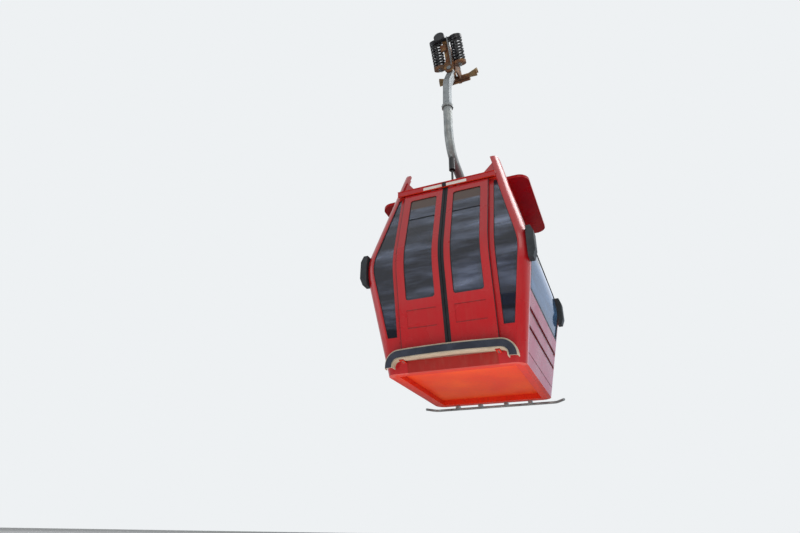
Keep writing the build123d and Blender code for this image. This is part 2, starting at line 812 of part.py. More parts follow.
# Hanger tube: down from the flange, in under the rope, and its end block
with BuildPart() as hanger_tube:
    with BuildLine(Plane.YZ) as tube_line:
        FilletPolyline(
            (flange_y, up(flange_height - flange_thickness)), (tube_bend_y, up(tube_bend_height)),
            (tube_run_y, up(tube_run_height)), (0, up(tube_end_height)),
            radius=tube_bend_radii,
        )
    with BuildSketch(Plane(origin=tube_line.line @ 0, z_dir=tube_line.line % 0)):
        Circle(tube_radius)
    sweep()
    with BuildSketch(Plane.XY.offset(up(flange_height - flange_thickness))):
        with Locations((0, flange_y)):
            Circle(flange_radius)
    extrude(amount=flange_thickness)
    add(block((-foot_plate_x, foot_plate_x), (-foot_plate_half_y, foot_plate_half_y),
              foot_pin_heights[0] - 2 * foot_pin_radius, foot_pin_heights[-1] + 2 * foot_pin_radius))
    add(block((-damper_lug_thickness / 2, damper_lug_thickness / 2),
              (damper_y - damper_lug_radius, damper_y + damper_lug_radius),
              damper_top, damper_top + tube_radius + damper_lug_radius))
    with BuildSketch(Plane.YZ.offset(-foot_plate_x)):
        with Locations(*((0, up(height)) for height in foot_pin_heights)):
            Circle(foot_pin_radius + pivot_clearance)
    extrude(amount=2 * foot_plate_x, mode=Mode.SUBTRACT)
save(hanger_tube, "hanger_tube")

# Damper from the tube down to its foot on the roof frame
bracket_top = frame_top + damper_lug_radius
with BuildPart() as damper:
    with BuildSketch(Plane.XZ.offset(-damper_y)):
        with BuildLine():
            Polyline((0, up(bracket_top)), (damper_rod_radius, up(bracket_top)),
                     (damper_rod_radius, up(damper_bottom)), (damper_radius, up(damper_bottom)),
                     (damper_radius, up(damper_top - damper_radius / 2)),
                     (damper_lug_thickness / 2, up(damper_top)), (0, up(damper_top)), close=True)
        make_face()
    revolve(axis=Axis((0, damper_y, 0), (0, 0, 1)))
save(damper, "damper")
# Cast upper arm: an eye for the pivot pin, a neck, and a bow out to the flange
with BuildPart() as hanger_arm:
    with BuildSketch(Plane.XZ.offset(-pivot_y - eye_width / 2)):
        with Locations((0, up(pivot_height))):
            Circle(eye_radius)
        with Locations((0, up(pivot_height))):
            Rectangle(arm_thickness, pivot_height - arm_top_height + arm_width / 2,
                      align=(Align.CENTER, Align.MAX))
    extrude(amount=eye_width)
    with BuildSketch(Plane.YZ):
        with BuildLine():
            FilletPolyline((pivot_y, up(arm_top_height)), (arm_bow_y, up(arm_bow_height)),
                           (flange_y, up(flange_height + flange_thickness / 2)), radius=arm_bow_radius)
        trace(line_width=arm_width)
    extrude(amount=arm_thickness / 2, both=True)
    with BuildSketch(Plane.XY.offset(up(flange_height))):
        with Locations((0, flange_y)):
            Circle(flange_radius)
    extrude(amount=flange_thickness)
    with BuildSketch(Plane.XZ.offset(-pivot_y - eye_width / 2)):
        with Locations((0, up(pivot_height))):
            Circle(pivot_radius + pivot_clearance)
    extrude(amount=eye_width, mode=Mode.SUBTRACT)
save(hanger_arm, "hanger_arm")
cheek_spread = eye_width / 2 + cheek_gap
with BuildPart() as pivot_pin:
    with BuildSketch(Plane.XZ.offset(-pivot_y - cheek_spread - cheek_thickness)):
        with Locations((0, up(pivot_height))):
            Circle(pivot_radius)
    extrude(amount=2 * (cheek_spread + cheek_thickness))
    for offset_y in (-cheek_spread - cheek_thickness - pivot_head, cheek_spread + cheek_thickness):
        with BuildSketch(Plane.XZ.offset(-pivot_y + offset_y)):
            with Locations((0, up(pivot_height))):
                Circle(pivot_head_radius)
        extrude(amount=pivot_head)
save(pivot_pin, "pivot_pin")

# Body of the grip: two side plates, the fixed jaw, the pivot's cheeks and a spring seat on each side
spring_axis = Vector(0, -sin(radians(spring_lean)), cos(radians(spring_lean)))
spring_seat = Vector(0, spring_seat_y, spring_seat_z)
spring_top = spring_seat + spring_axis * spring_length
fixed_side = Vector(0, -cos(radians(jaw_lean)), sin(radians(jaw_lean)))
plate_inside = lever_half_thickness + side_plate_gap
plate_outside = plate_inside + side_plate_thickness
cheek_outside = cheek_spread + cheek_thickness
clevis_bottom = pivot_height + eye_radius + clevis_clearance


def spring_plane(origin):
    """A plane square to the springs, its X along the rope."""
    return Plane(origin=origin, x_dir=(1, 0, 0), z_dir=spring_axis)


def half_space(plane):
    """Everything in front of a plane."""
    with BuildPart() as space:
        with BuildSketch(plane):
            Rectangle(FAR, FAR)
        extrude(amount=FAR)
    return space.part


def jaw_half(side, gap):
    """The half of the round jaw that lies to one side of the rope."""
    with BuildPart() as jaw:
        with BuildSketch(Plane.YZ.offset(-jaw_length / 2)):
            Circle(jaw_radius)
            Circle(rope_radius + jaw_clearance, mode=Mode.SUBTRACT)
        extrude(amount=jaw_length)
        add(half_space(Plane(origin=side * gap, x_dir=(1, 0, 0), z_dir=-side)), mode=Mode.SUBTRACT)
    return jaw.part


with BuildPart() as grip_body:
    for start in (-plate_outside, plate_inside):
        with BuildSketch(Plane.YZ.offset(start)):
            with BuildLine():
                Polyline(*GRIP_PLATE, close=True)
            make_face()
            with Locations((lever_pivot_y, lever_height)):
                Circle(lever_pivot_radius, mode=Mode.SUBTRACT)
        extrude(amount=side_plate_thickness)
    add(block((-cheek_radius, cheek_radius), (pivot_y - cheek_outside, pivot_y + cheek_outside),
              clevis_bottom, clevis_bottom + clevis_height))
    for start in (pivot_y + cheek_spread, pivot_y - cheek_outside):
        with BuildSketch(Plane.XZ.offset(-start)):
            with Locations((0, up(pivot_height))):
                Circle(cheek_radius)
                Rectangle(2 * cheek_radius, clevis_bottom - pivot_height,
                          align=(Align.CENTER, Align.MIN))
                Circle(pivot_radius, mode=Mode.SUBTRACT)
        extrude(amount=-cheek_thickness)
    add(jaw_half(fixed_side, 0))
save(grip_body, "grip_body")


def spring_cups(origin, amount):
    """Two round cups over the ends of the springs, joined by a narrower web."""
    with BuildPart() as cups:
        with BuildSketch(spring_plane(origin)):
            with Locations((-spring_x, 0), (spring_x, 0)):
                Circle(spring_cup_radius)
            Rectangle(2 * spring_x, spring_web_width)
        extrude(amount=amount)
    return cups.part


with BuildPart() as spring_wings:
    add(spring_cups(spring_seat, -spring_cup_height))
    add(block((-plate_outside, plate_outside), (-FAR, FAR), 0, 2 * FAR), mode=Mode.SUBTRACT)
    add(grip_body.part, mode=Mode.SUBTRACT)
save(spring_wings, "spring_seat")

# Lever that closes the other half of the jaw: over the rope, through its pivot, to the yoke
with BuildPart() as jaw_lever:
    add(jaw_half(-fixed_side, jaw_gap))
    with BuildSketch(Plane.YZ):
        with BuildLine():
            FilletPolyline((lever_inner_y, 0), (lever_inner_y, lever_height), (lever_pivot_y, lever_height),
                           (spring_top.Y, spring_top.Z + spring_cup_height / 2), radius=lever_bend)
        trace(line_width=lever_width)
        with Locations((lever_pivot_y, lever_height)):
            Circle(lever_pivot_radius, mode=Mode.SUBTRACT)
    extrude(amount=lever_half_thickness, both=True)
    add(half_space(spring_plane(spring_top)), mode=Mode.SUBTRACT)
save(jaw_lever, "jaw_lever")
with BuildPart() as spring_yoke:
    add(spring_cups(spring_top, spring_cup_height))
save(spring_yoke, "spring_yoke")

# Roller on the front of the yoke that runs on the closing ramp, on its stub axle
roller_place = spring_top + spring_axis * (spring_cup_height / 2)
with BuildPart() as lever_roller:
    for radius, near, far in (
        (lever_pivot_radius, lever_roller_forward - lever_stub_length, lever_roller_forward),
        (lever_roller_radius, lever_roller_forward, lever_roller_forward + lever_roller_width),
    ):
        with BuildSketch(Plane.XZ.offset(near - roller_place.Y)):
            with Locations((-lever_roller_x, roller_place.Z - lever_roller_drop)):
                Circle(radius)
        extrude(amount=far - near)
    add(spring_yoke.part, mode=Mode.SUBTRACT)
save(lever_roller, "lever_roller")
with BuildPart() as lever_pin:
    with BuildSketch(Plane.YZ):
        with Locations((lever_pivot_y, lever_height)):
            Circle(lever_pivot_radius)
    extrude(amount=plate_outside + pivot_head, both=True)
    with BuildSketch(Plane.YZ.offset(plate_outside)):
        with Locations((lever_pivot_y, lever_height)):
            Circle(1.5 * lever_pivot_radius)
    extrude(amount=pivot_head)
    mirror(about=Plane.YZ)
save(lever_pin, "lever_pin")

# Two springs with ground ends between the seats and the yoke, each round its rod
with BuildPart() as spring_rods:
    with BuildSketch(spring_plane(spring_seat)):
        with Locations((-spring_x, 0), (spring_x, 0)):
            Circle(spring_rod_radius)
    extrude(amount=spring_length)
save(spring_rods, "spring_rods")
coil_steps = spring_turns * spring_segments
coil_radius = spring_radius - spring_wire_radius
with BuildPart() as springs:
    for side in SIDES:
        with BuildLine(spring_plane(spring_seat)) as coil:
            Polyline(*((side * spring_x + coil_radius * cos(2 * pi * step / spring_segments),
                        coil_radius * sin(2 * pi * step / spring_segments),
                        spring_length * step / coil_steps) for step in range(coil_steps + 1)))
        with BuildSketch(Plane(origin=coil.line @ 0, z_dir=coil.line % 0)):
            RegularPolygon(spring_wire_radius, spring_wire_sides)
        sweep(transition=Transition.RIGHT)
    add(half_space(spring_plane(spring_top)), mode=Mode.SUBTRACT)
    add(half_space(Plane(origin=spring_seat, x_dir=(1, 0, 0), z_dir=-spring_axis)), mode=Mode.SUBTRACT)
save(springs, "springs")

# Flared shoes that lead the rope out of the fixed jaw at both ends
with BuildPart() as rope_shoes:
    with BuildSketch(Plane.XY):
        with BuildLine():
            Polyline((jaw_length / 2, rope_radius + jaw_clearance),
                     (jaw_length / 2 + shoe_length, shoe_mouth_radius),
                     (jaw_length / 2 + shoe_length, shoe_radius),
                     (jaw_length / 2, jaw_radius), close=True)
        make_face()
    revolve(axis=Axis.X)
    add(half_space(Plane(origin=(0, 0, 0), x_dir=(1, 0, 0), z_dir=-fixed_side)), mode=Mode.SUBTRACT)
    mirror(about=Plane.YZ)
save(rope_shoes, "rope_shoes")
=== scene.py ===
"""Looks of a cable car cabin that hangs from its spring grip, dressed over the fixed frame."""

import logging
import math
from dataclasses import dataclass
from enum import Enum
from typing import Callable, Iterable, Sequence

import bmesh
import bpy
from mathutils import Matrix, Vector


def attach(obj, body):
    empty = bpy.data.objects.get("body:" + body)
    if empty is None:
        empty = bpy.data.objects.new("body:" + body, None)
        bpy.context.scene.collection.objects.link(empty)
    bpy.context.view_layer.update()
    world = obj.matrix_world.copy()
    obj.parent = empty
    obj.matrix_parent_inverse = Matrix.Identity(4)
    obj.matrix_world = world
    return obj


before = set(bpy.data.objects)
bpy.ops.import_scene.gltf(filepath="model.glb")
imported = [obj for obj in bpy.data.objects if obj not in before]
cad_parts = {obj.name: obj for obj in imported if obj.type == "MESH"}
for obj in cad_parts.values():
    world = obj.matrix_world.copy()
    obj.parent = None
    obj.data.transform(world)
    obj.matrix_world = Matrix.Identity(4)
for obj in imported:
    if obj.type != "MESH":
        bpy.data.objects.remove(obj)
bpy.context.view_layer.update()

log = logging.getLogger("cabin")
ROPE_HEIGHT = 4.36  # from the underside of the floor frame up to the rope
SIDES = {"left": -1, "right": 1}  # the way of each side along X
PIECE_CREASE = 32.0  # degrees between faces above which an edge of a piece stays hard
NODE_CREASE = 25.0  # the same for a node of the fixed frame
WASHER = (1.1, 0.16, 20, 0.04)  # radius and height in thread diameters, sides, crown
HEAD = (0.95, 0.62, 6, 0.1)  # the same for the hexagon on it
WELD = 1e-5  # metres within which corners are one
OUTWARD = 0.5  # how far a face has to look outward to count as an outer one

Span = tuple[float, float]
Triple = tuple[float, float, float]
Tree = bpy.types.NodeTree
Socket = bpy.types.NodeSocket


def linear(colour: str) -> tuple[float, float, float, float]:
    """Turn an sRGB hex colour into linear values.

    Args:
        colour: six hex digits with a leading hash.

    Returns:
        Red, green, blue and an alpha of one.
    """
    parts = [int(colour[i:i + 2], 16) / 255 for i in (1, 3, 5)]
    bent = [c / 12.92 if c <= 0.04045 else ((c + 0.055) / 1.055) ** 2.4 for c in parts]
    return bent[0], bent[1], bent[2], 1.0


def set_inputs(tree: Tree, node: bpy.types.Node, inputs: dict) -> None:
    """Give a node its values and links.

    Args:
        tree: the node's tree.
        node: the node.
        inputs: input name or number to a value, or to the socket that feeds it.
    """
    for key, value in inputs.items():
        if isinstance(value, Socket):
            tree.links.new(value, node.inputs[key])
        else:
            node.inputs[key].default_value = value


def add_node(tree: Tree, kind: str, inputs: dict | None = None, **settings: object) -> bpy.types.Node:
    """Add a shader node with its settings, values and links.

    Args:
        tree: the material's or world's node tree.
        kind: the node's Blender type.
        inputs: input name or number to a value, or to the socket that feeds it.
        settings: attributes of the node itself.

    Returns:
        The new node.
    """
    node = tree.nodes.new(kind)
    for name, value in settings.items():
        setattr(node, name, value)
    set_inputs(tree, node, inputs or {})
    return node


def per_mm(size: float) -> float:
    """Noise scale, in cycles a metre, of a pattern whose grain is this many millimetres."""
    return 1000.0 / size


def up(height: float) -> float:
    """Z of a height above the underside of the floor frame, in metres."""
    return height - ROPE_HEIGHT


class Recipe:
    """A material in the making, with its shader and the piece's own coordinates."""

    def __init__(self, name: str) -> None:
        """Start the material.

        Args:
            name: the finish's name.
        """
        self.material = bpy.data.materials.new(name)
        self.material.use_nodes = True
        self.tree = self.material.node_tree
        self.tree.nodes.clear()
        self.shader = add_node(self.tree, "ShaderNodeBsdfPrincipled")
        add_node(self.tree, "ShaderNodeOutputMaterial", {"Surface": self.shader.outputs["BSDF"]})
        self.place = add_node(self.tree, "ShaderNodeTexCoord").outputs["Object"]

    def grain(self, size: float | Triple, detail: float = 3.0, rough: float = 0.55) -> Socket:
        """Noise whose grain has a real size along each axis.

        Args:
            size: grain in millimetres, one for all axes or along X, Y and Z.
            detail: how many finer layers are added.
            rough: how strong the finer layers are.

        Returns:
            The noise's factor.
        """
        sizes = (size,) * 3 if isinstance(size, float) else size
        mapped = add_node(self.tree, "ShaderNodeMapping",
                          {"Vector": self.place, "Scale": [per_mm(s) for s in sizes]})
        noise = add_node(self.tree, "ShaderNodeTexNoise",
                         {"Vector": mapped.outputs[0], "Scale": 1.0, "Detail": detail, "Roughness": rough})
        return noise.outputs["Fac"]

    def patches(self, size: float | Triple, at: Span, detail: float = 3.0, rough: float = 0.55,
                to: Span = (0.0, 1.0)) -> Socket:
        """Patches of a real size, cut out of the noise.

        Args:
            size: grain in millimetres, one for all axes or along X, Y and Z.
            at: the noise's values between which a patch begins and is full.
            detail: how many finer layers are added.
            rough: how strong the finer layers are.
            to: the result outside a patch and in a full one.

        Returns:
            The patches' factor.
        """
        return self.between(self.grain(size, detail, rough), *to, at)

    def between(self, factor: Socket, first: object, second: object, at: Span = (0.0, 1.0)) -> Socket:
        """Go from one number or colour to another as a factor rises.

        Args:
            factor: the factor.
            first: number, hex colour or colour socket at its low end.
            second: the same at its high end.
            at: the factor's values at the two ends, for numbers only.

        Returns:
            The number or colour in between.
        """
        if isinstance(first, float):
            return add_node(self.tree, "ShaderNodeMapRange", {
                "Value": factor, "From Min": at[0], "From Max": at[1], "To Min": first, "To Max": second,
            }).outputs["Result"]
        ends = [linear(end) if isinstance(end, str) else end for end in (first, second)]
        return add_node(self.tree, "ShaderNodeMix", {0: factor, 6: ends[0], 7: ends[1]},
                        data_type="RGBA").outputs[2]

    def finish(self, inputs: dict, height: Socket, relief: Span) -> bpy.types.Material:
        """Set the shader and give it its relief.

        Args:
            inputs: the shader's input name to a value, or to the socket that feeds it.
            height: the relief's factor.
            relief: its real depth in millimetres, and how much of it shows.

        Returns:
            The finished material.
        """
        depth, shows = relief
        bump = add_node(self.tree, "ShaderNodeBump",
                        {"Height": height, "Distance": depth / 1000, "Strength": shows})
        set_inputs(self.tree, self.shader, inputs | {"Normal": bump.outputs[0]})
        return self.material


@dataclass(frozen=True)
class GlossEnamel:
    """Two-pack polyurethane enamel sprayed on moulded glass fibre and sheet steel.

    A wet-looking red with a clear top layer, bleached by the sun in patches, with faint rain streaks of dust; some
    finishes add painted bounce light on faces that look down and dark bands of painted groove shade.
    """

    name: str
    colour: str
    # colour of the sun-bleached patches; on the underside, skirt and end panels both this and the colour are
    # painted light, as noted in Surface
    faded_and_painted_light: str
    dust: str = "#8F6A5C"
    fade_mm: float = 420.0
    fade_at: Span = (0.35, 0.7)
    streak_mm: Triple = (38.0, 38.0, 700.0)
    streak_at: Span = (0.48, 0.8)
    peel_mm: float = 9.0  # real orange peel is about 3 mm, drawn coarser so that it shows
    peel: Span = (0.25, 0.12)
    dusty: float = 0.16
    coat: float = 0.5
    coat_rough: float = 0.07
    rough: Span = (0.24, 0.36)
    dull: float = 0.0  # added to the roughness
    shine: float = 0.36
    ior: float = 1.5
    painted_bounce_light: str | None = None  # painted bounce light from the floor: colour of the faces that look down
    painted_bounce_at: Span = (-0.95, -0.8)  # the normal's Z from which it shows
    bands: tuple[Span, ...] = ()  # height and width of each dark band of painted groove shade, in millimetres
    groove_shade_colour: str = "#7A1420"

    def make(self) -> bpy.types.Material:
        """Build the enamel."""
        recipe = Recipe(self.name)
        fade = recipe.patches(self.fade_mm, self.fade_at)
        streak = recipe.patches(self.streak_mm, self.streak_at, 5.0, to=(0.0, self.dusty))
        colour = recipe.between(fade, self.colour, self.faded_and_painted_light)
        colour = recipe.between(streak, colour, self.dust)
        # painted bounce light: faces that look down take a lighter, more orange red
        if self.painted_bounce_light:
            normal = add_node(recipe.tree, "ShaderNodeTexCoord").outputs["Normal"]
            facing_up = add_node(recipe.tree, "ShaderNodeSeparateXYZ", {0: normal}).outputs["Z"]
            down = recipe.between(facing_up, 1.0, 0.0, self.painted_bounce_at)
            colour = recipe.between(down, colour, self.painted_bounce_light)
        # painted shade: dark bands along the pressed grooves
        for middle, width in self.bands:
            level = add_node(recipe.tree, "ShaderNodeSeparateXYZ", {0: recipe.place}).outputs["Z"]
            inside = add_node(recipe.tree, "ShaderNodeMath",
                              {0: level, 1: up(middle / 1000), 2: width / 2000},
                              operation="COMPARE").outputs[0]
            colour = recipe.between(inside, colour, self.groove_shade_colour)
        return recipe.finish({
            "Base Color": colour,
            "Roughness": recipe.between(fade, *(end + self.dull for end in self.rough)),
            "Specular IOR Level": self.shine,
            "Coat Weight": self.coat,
            "Coat Roughness": self.coat_rough,
            "IOR": self.ior,
        }, recipe.grain(self.peel_mm, 1.0), self.peel)


@dataclass(frozen=True)
class MouldedRubber:
    """EPDM rubber, extruded for seals and moulded for buffers: slate black, dull, with pale bloom and dust."""

    name: str
    colour: str = "#262B30"
    bloom: str = "#4B5154"
    patch_mm: float = 90.0
    patch_at: Span = (0.42, 0.75)
    grit_mm: float = 4.0  # mould grit is under 1 mm, drawn coarser so that it shows
    grit: Span = (0.3, 0.35)
    rough: Span = (0.5, 0.78)
    shine: float = 0.3

    def make(self) -> bpy.types.Material:
        """Build the rubber."""
        recipe = Recipe(self.name)
        patch = recipe.patches(self.patch_mm, self.patch_at, 6.0, 0.7)
        return recipe.finish({
            "Base Color": recipe.between(patch, self.colour, self.bloom),
            "Roughness": recipe.between(patch, *self.rough),
            "Specular IOR Level": self.shine,
        }, recipe.grain(self.grit_mm, 2.0), self.grit)


@dataclass(frozen=True)
class TintedAcrylic:
    """Smoke-tinted acrylic sheet, bent warm: dark and glossy, slightly wavy, with paler bands of painted sky
    reflection.
    """

    name: str
    tint: str = "#2C3654"
    # painted sky reflection: colour of the paler bands, and below it how much light they let through
    sky_reflection: str = "#AEBEDC"
    clear: float = 0.88
    sky_reflection_clear: float = 0.42
    band_mm: Triple = (1300.0, 1300.0, 190.0)
    band_at: Span = (0.46, 0.76)
    wave_mm: Triple = (1300.0, 1300.0, 240.0)
    wave: Span = (1.2, 0.3)
    shade: str | None = None  # colour of the darker part above: a painted view of the lit ceiling lining seen through the pane
    lining_view_heights: Span = (1.73, 1.76)
    lining_view_clear: float = 0.3
    rough: Span = (0.03, 0.16)
    shine: float = 0.5
    coat_share: float = 0.6  # weight of the coat, in shines
    coat_rough: float = 0.03
    ior: float = 1.49

    def make(self) -> bpy.types.Material:
        """Build the acrylic."""
        recipe = Recipe(self.name)
        # bands of painted sky reflection
        band = recipe.patches(self.band_mm, self.band_at, 6.0, 0.58)
        colour = recipe.between(band, self.tint, self.sky_reflection)
        clear = recipe.between(band, self.clear, self.sky_reflection_clear)
        # painted view of the ceiling lining: above the given heights the pane turns brown and lets less light
        # through
        if self.shade:
            level = add_node(recipe.tree, "ShaderNodeSeparateXYZ", {0: recipe.place}).outputs["Z"]
            above = recipe.between(level, 0.0, 1.0, tuple(up(h) for h in self.lining_view_heights))
            colour = recipe.between(above, colour, self.shade)
            closed = recipe.between(above, 1.0, self.lining_view_clear)
            clear = add_node(recipe.tree, "ShaderNodeMath", {0: clear, 1: closed}, operation="MULTIPLY").outputs[0]
        return recipe.finish({
            "Base Color": colour,
            "Transmission Weight": clear,
            "Roughness": recipe.between(band, *self.rough),
            "IOR": self.ior,
            "Specular IOR Level": self.shine,
            "Coat Weight": self.coat_share * self.shine,
            "Coat Roughness": self.coat_rough,
        }, recipe.grain(self.wave_mm, 1.0), self.wave)


@dataclass(frozen=True)
class GalvanisedSteel:
    """Hot-dip galvanised steel: matt grey zinc with faint crystals, white bloom and brown run marks."""

    name: str
    colour: str = "#767C7F"
    bloom: str = "#A0A5A4"
    dark: str = "#5C6265"
    run: str = "#6B5540"
    crystal_mm: float = 14.0
    dark_share: float = 0.22
    bloom_mm: float = 120.0
    bloom_at: Span = (0.35, 0.7)
    run_mm: Triple = (30.0, 30.0, 420.0)
    run_at: Span = (0.55, 0.78)
    stained: float = 0.45
    dimple_mm: float = 25.0
    dimple: Span = (0.5, 0.3)
    rough: Span = (0.42, 0.6)
    metallic: float = 0.55

    def make(self) -> bpy.types.Material:
        """Build the zinc."""
        recipe = Recipe(self.name)
        mapped = add_node(recipe.tree, "ShaderNodeMapping",
                          {"Vector": recipe.place, "Scale": [per_mm(self.crystal_mm)] * 3})
        crystals = add_node(recipe.tree, "ShaderNodeTexVoronoi", {"Vector": mapped.outputs[0], "Scale": 1.0})
        tone = add_node(recipe.tree, "ShaderNodeSeparateColor", {0: crystals.outputs["Color"]}).outputs[0]
        cloud = recipe.patches(self.bloom_mm, self.bloom_at, 5.0)
        zinc = recipe.between(cloud, self.colour, self.bloom)
        dull = recipe.between(recipe.between(tone, 0.0, self.dark_share), zinc, self.dark)
        runs = recipe.patches(self.run_mm, self.run_at, 4.0, to=(0.0, self.stained))
        return recipe.finish({
            "Base Color": recipe.between(runs, dull, self.run),
            "Roughness": recipe.between(tone, *self.rough),
            "Metallic": self.metallic,
        }, recipe.grain(self.dimple_mm, 4.0), self.dimple)


@dataclass(frozen=True)
class BrushedAluminium:
    """Mill-finish aluminium extrusion: warm silver, drawn along its length, with scuffs."""

    name: str
    colour: str = "#B8B2A2"
    scuff: str = "#86807A"
    draw_mm: Triple = (600.0, 5.0, 5.0)
    draw_at: Span = (0.3, 0.7)
    draw: Span = (0.15, 0.3)
    scuff_mm: Triple = (70.0, 70.0, 40.0)
    scuff_at: Span = (0.5, 0.75)
    rough: Span = (0.3, 0.48)
    metallic: float = 0.85

    def make(self) -> bpy.types.Material:
        """Build the aluminium."""
        recipe = Recipe(self.name)
        lines = recipe.grain(self.draw_mm)
        scuffs = recipe.patches(self.scuff_mm, self.scuff_at, 6.0, 0.7)
        return recipe.finish({
            "Base Color": recipe.between(scuffs, self.colour, self.scuff),
            "Roughness": recipe.between(lines, *self.rough, self.draw_at),
            "Metallic": self.metallic,
        }, lines, self.draw)


@dataclass(frozen=True)
class WeatheredCasting:
    """Cast steel of the grip: brown primer and rust with worn golden zinc-chromate on the high spots."""

    name: str
    colour: str = "#5A4636"
    rust: str = "#7E4A26"
    gold: str = "#A88450"
    patch_mm: float = 60.0
    patch_at: Span = (0.42, 0.66)
    worn_mm: Triple = (95.0, 95.0, 45.0)
    worn_at: Span = (0.54, 0.66)
    pit_mm: float = 7.0
    pit: Span = (0.9, 0.5)
    rough: Span = (0.78, 0.5)
    metallic: Span = (0.15, 0.7)

    def make(self) -> bpy.types.Material:
        """Build the casting."""
        recipe = Recipe(self.name)
        rusty = recipe.patches(self.patch_mm, self.patch_at, 7.0, 0.68)
        worn = recipe.patches(self.worn_mm, self.worn_at, 6.0, 0.7)
        base = recipe.between(rusty, self.colour, self.rust)
        return recipe.finish({
            "Base Color": recipe.between(worn, base, self.gold),
            "Roughness": recipe.between(worn, *self.rough),
            "Metallic": recipe.between(worn, *self.metallic),
        }, recipe.grain(self.pit_mm, 5.0, 0.7), self.pit)


@dataclass(frozen=True)
class LacqueredSteel:
    """Black stoved lacquer on steel, rubbed through to grey where it is knocked; on the springs the grey spots
    also stand in for highlights.
    """

    name: str
    colour: str = "#15161A"
    bare_and_glint: str = "#8D9094"
    worn_mm: float = 30.0
    worn_at: float = 0.6
    worn_edge: float = 0.1
    rough: float = 0.34
    bare_rough: float = 0.5
    metallic: Span = (0.2, 0.8)
    peel_mm: float = 8.0
    peel: Span = (0.3, 0.3)

    def make(self) -> bpy.types.Material:
        """Build the lacquer."""
        recipe = Recipe(self.name)
        worn = recipe.patches(self.worn_mm, (self.worn_at, self.worn_at + self.worn_edge), 7.0, 0.7)
        return recipe.finish({
            "Base Color": recipe.between(worn, self.colour, self.bare_and_glint),
            "Roughness": recipe.between(worn, self.rough, self.bare_rough),
            "Metallic": recipe.between(worn, *self.metallic),
        }, recipe.grain(self.peel_mm, 3.0), self.peel)


@dataclass(frozen=True)
class PlainMoulding:
    """Moulded or rolled sheet in one tone with a fine pebble: vinyl strips, seat shells, floor and lining."""

    name: str
    colour: str
    shade: str
    pebble_mm: float = 5.0
    rough: float = 0.55
    rough_spread: float = 0.15
    pebble: Span = (0.2, 0.3)
    cloud_mm: Triple = (150.0, 150.0, 60.0)
    cloud_at: Span = (0.4, 0.75)

    def make(self) -> bpy.types.Material:
        """Build the moulding."""
        recipe = Recipe(self.name)
        cloud = recipe.patches(self.cloud_mm, self.cloud_at, 6.0)
        return recipe.finish({
            "Base Color": recipe.between(cloud, self.colour, self.shade),
            "Roughness": recipe.between(cloud, self.rough, self.rough + self.rough_spread),
        }, recipe.grain(self.pebble_mm, 2.0), self.pebble)


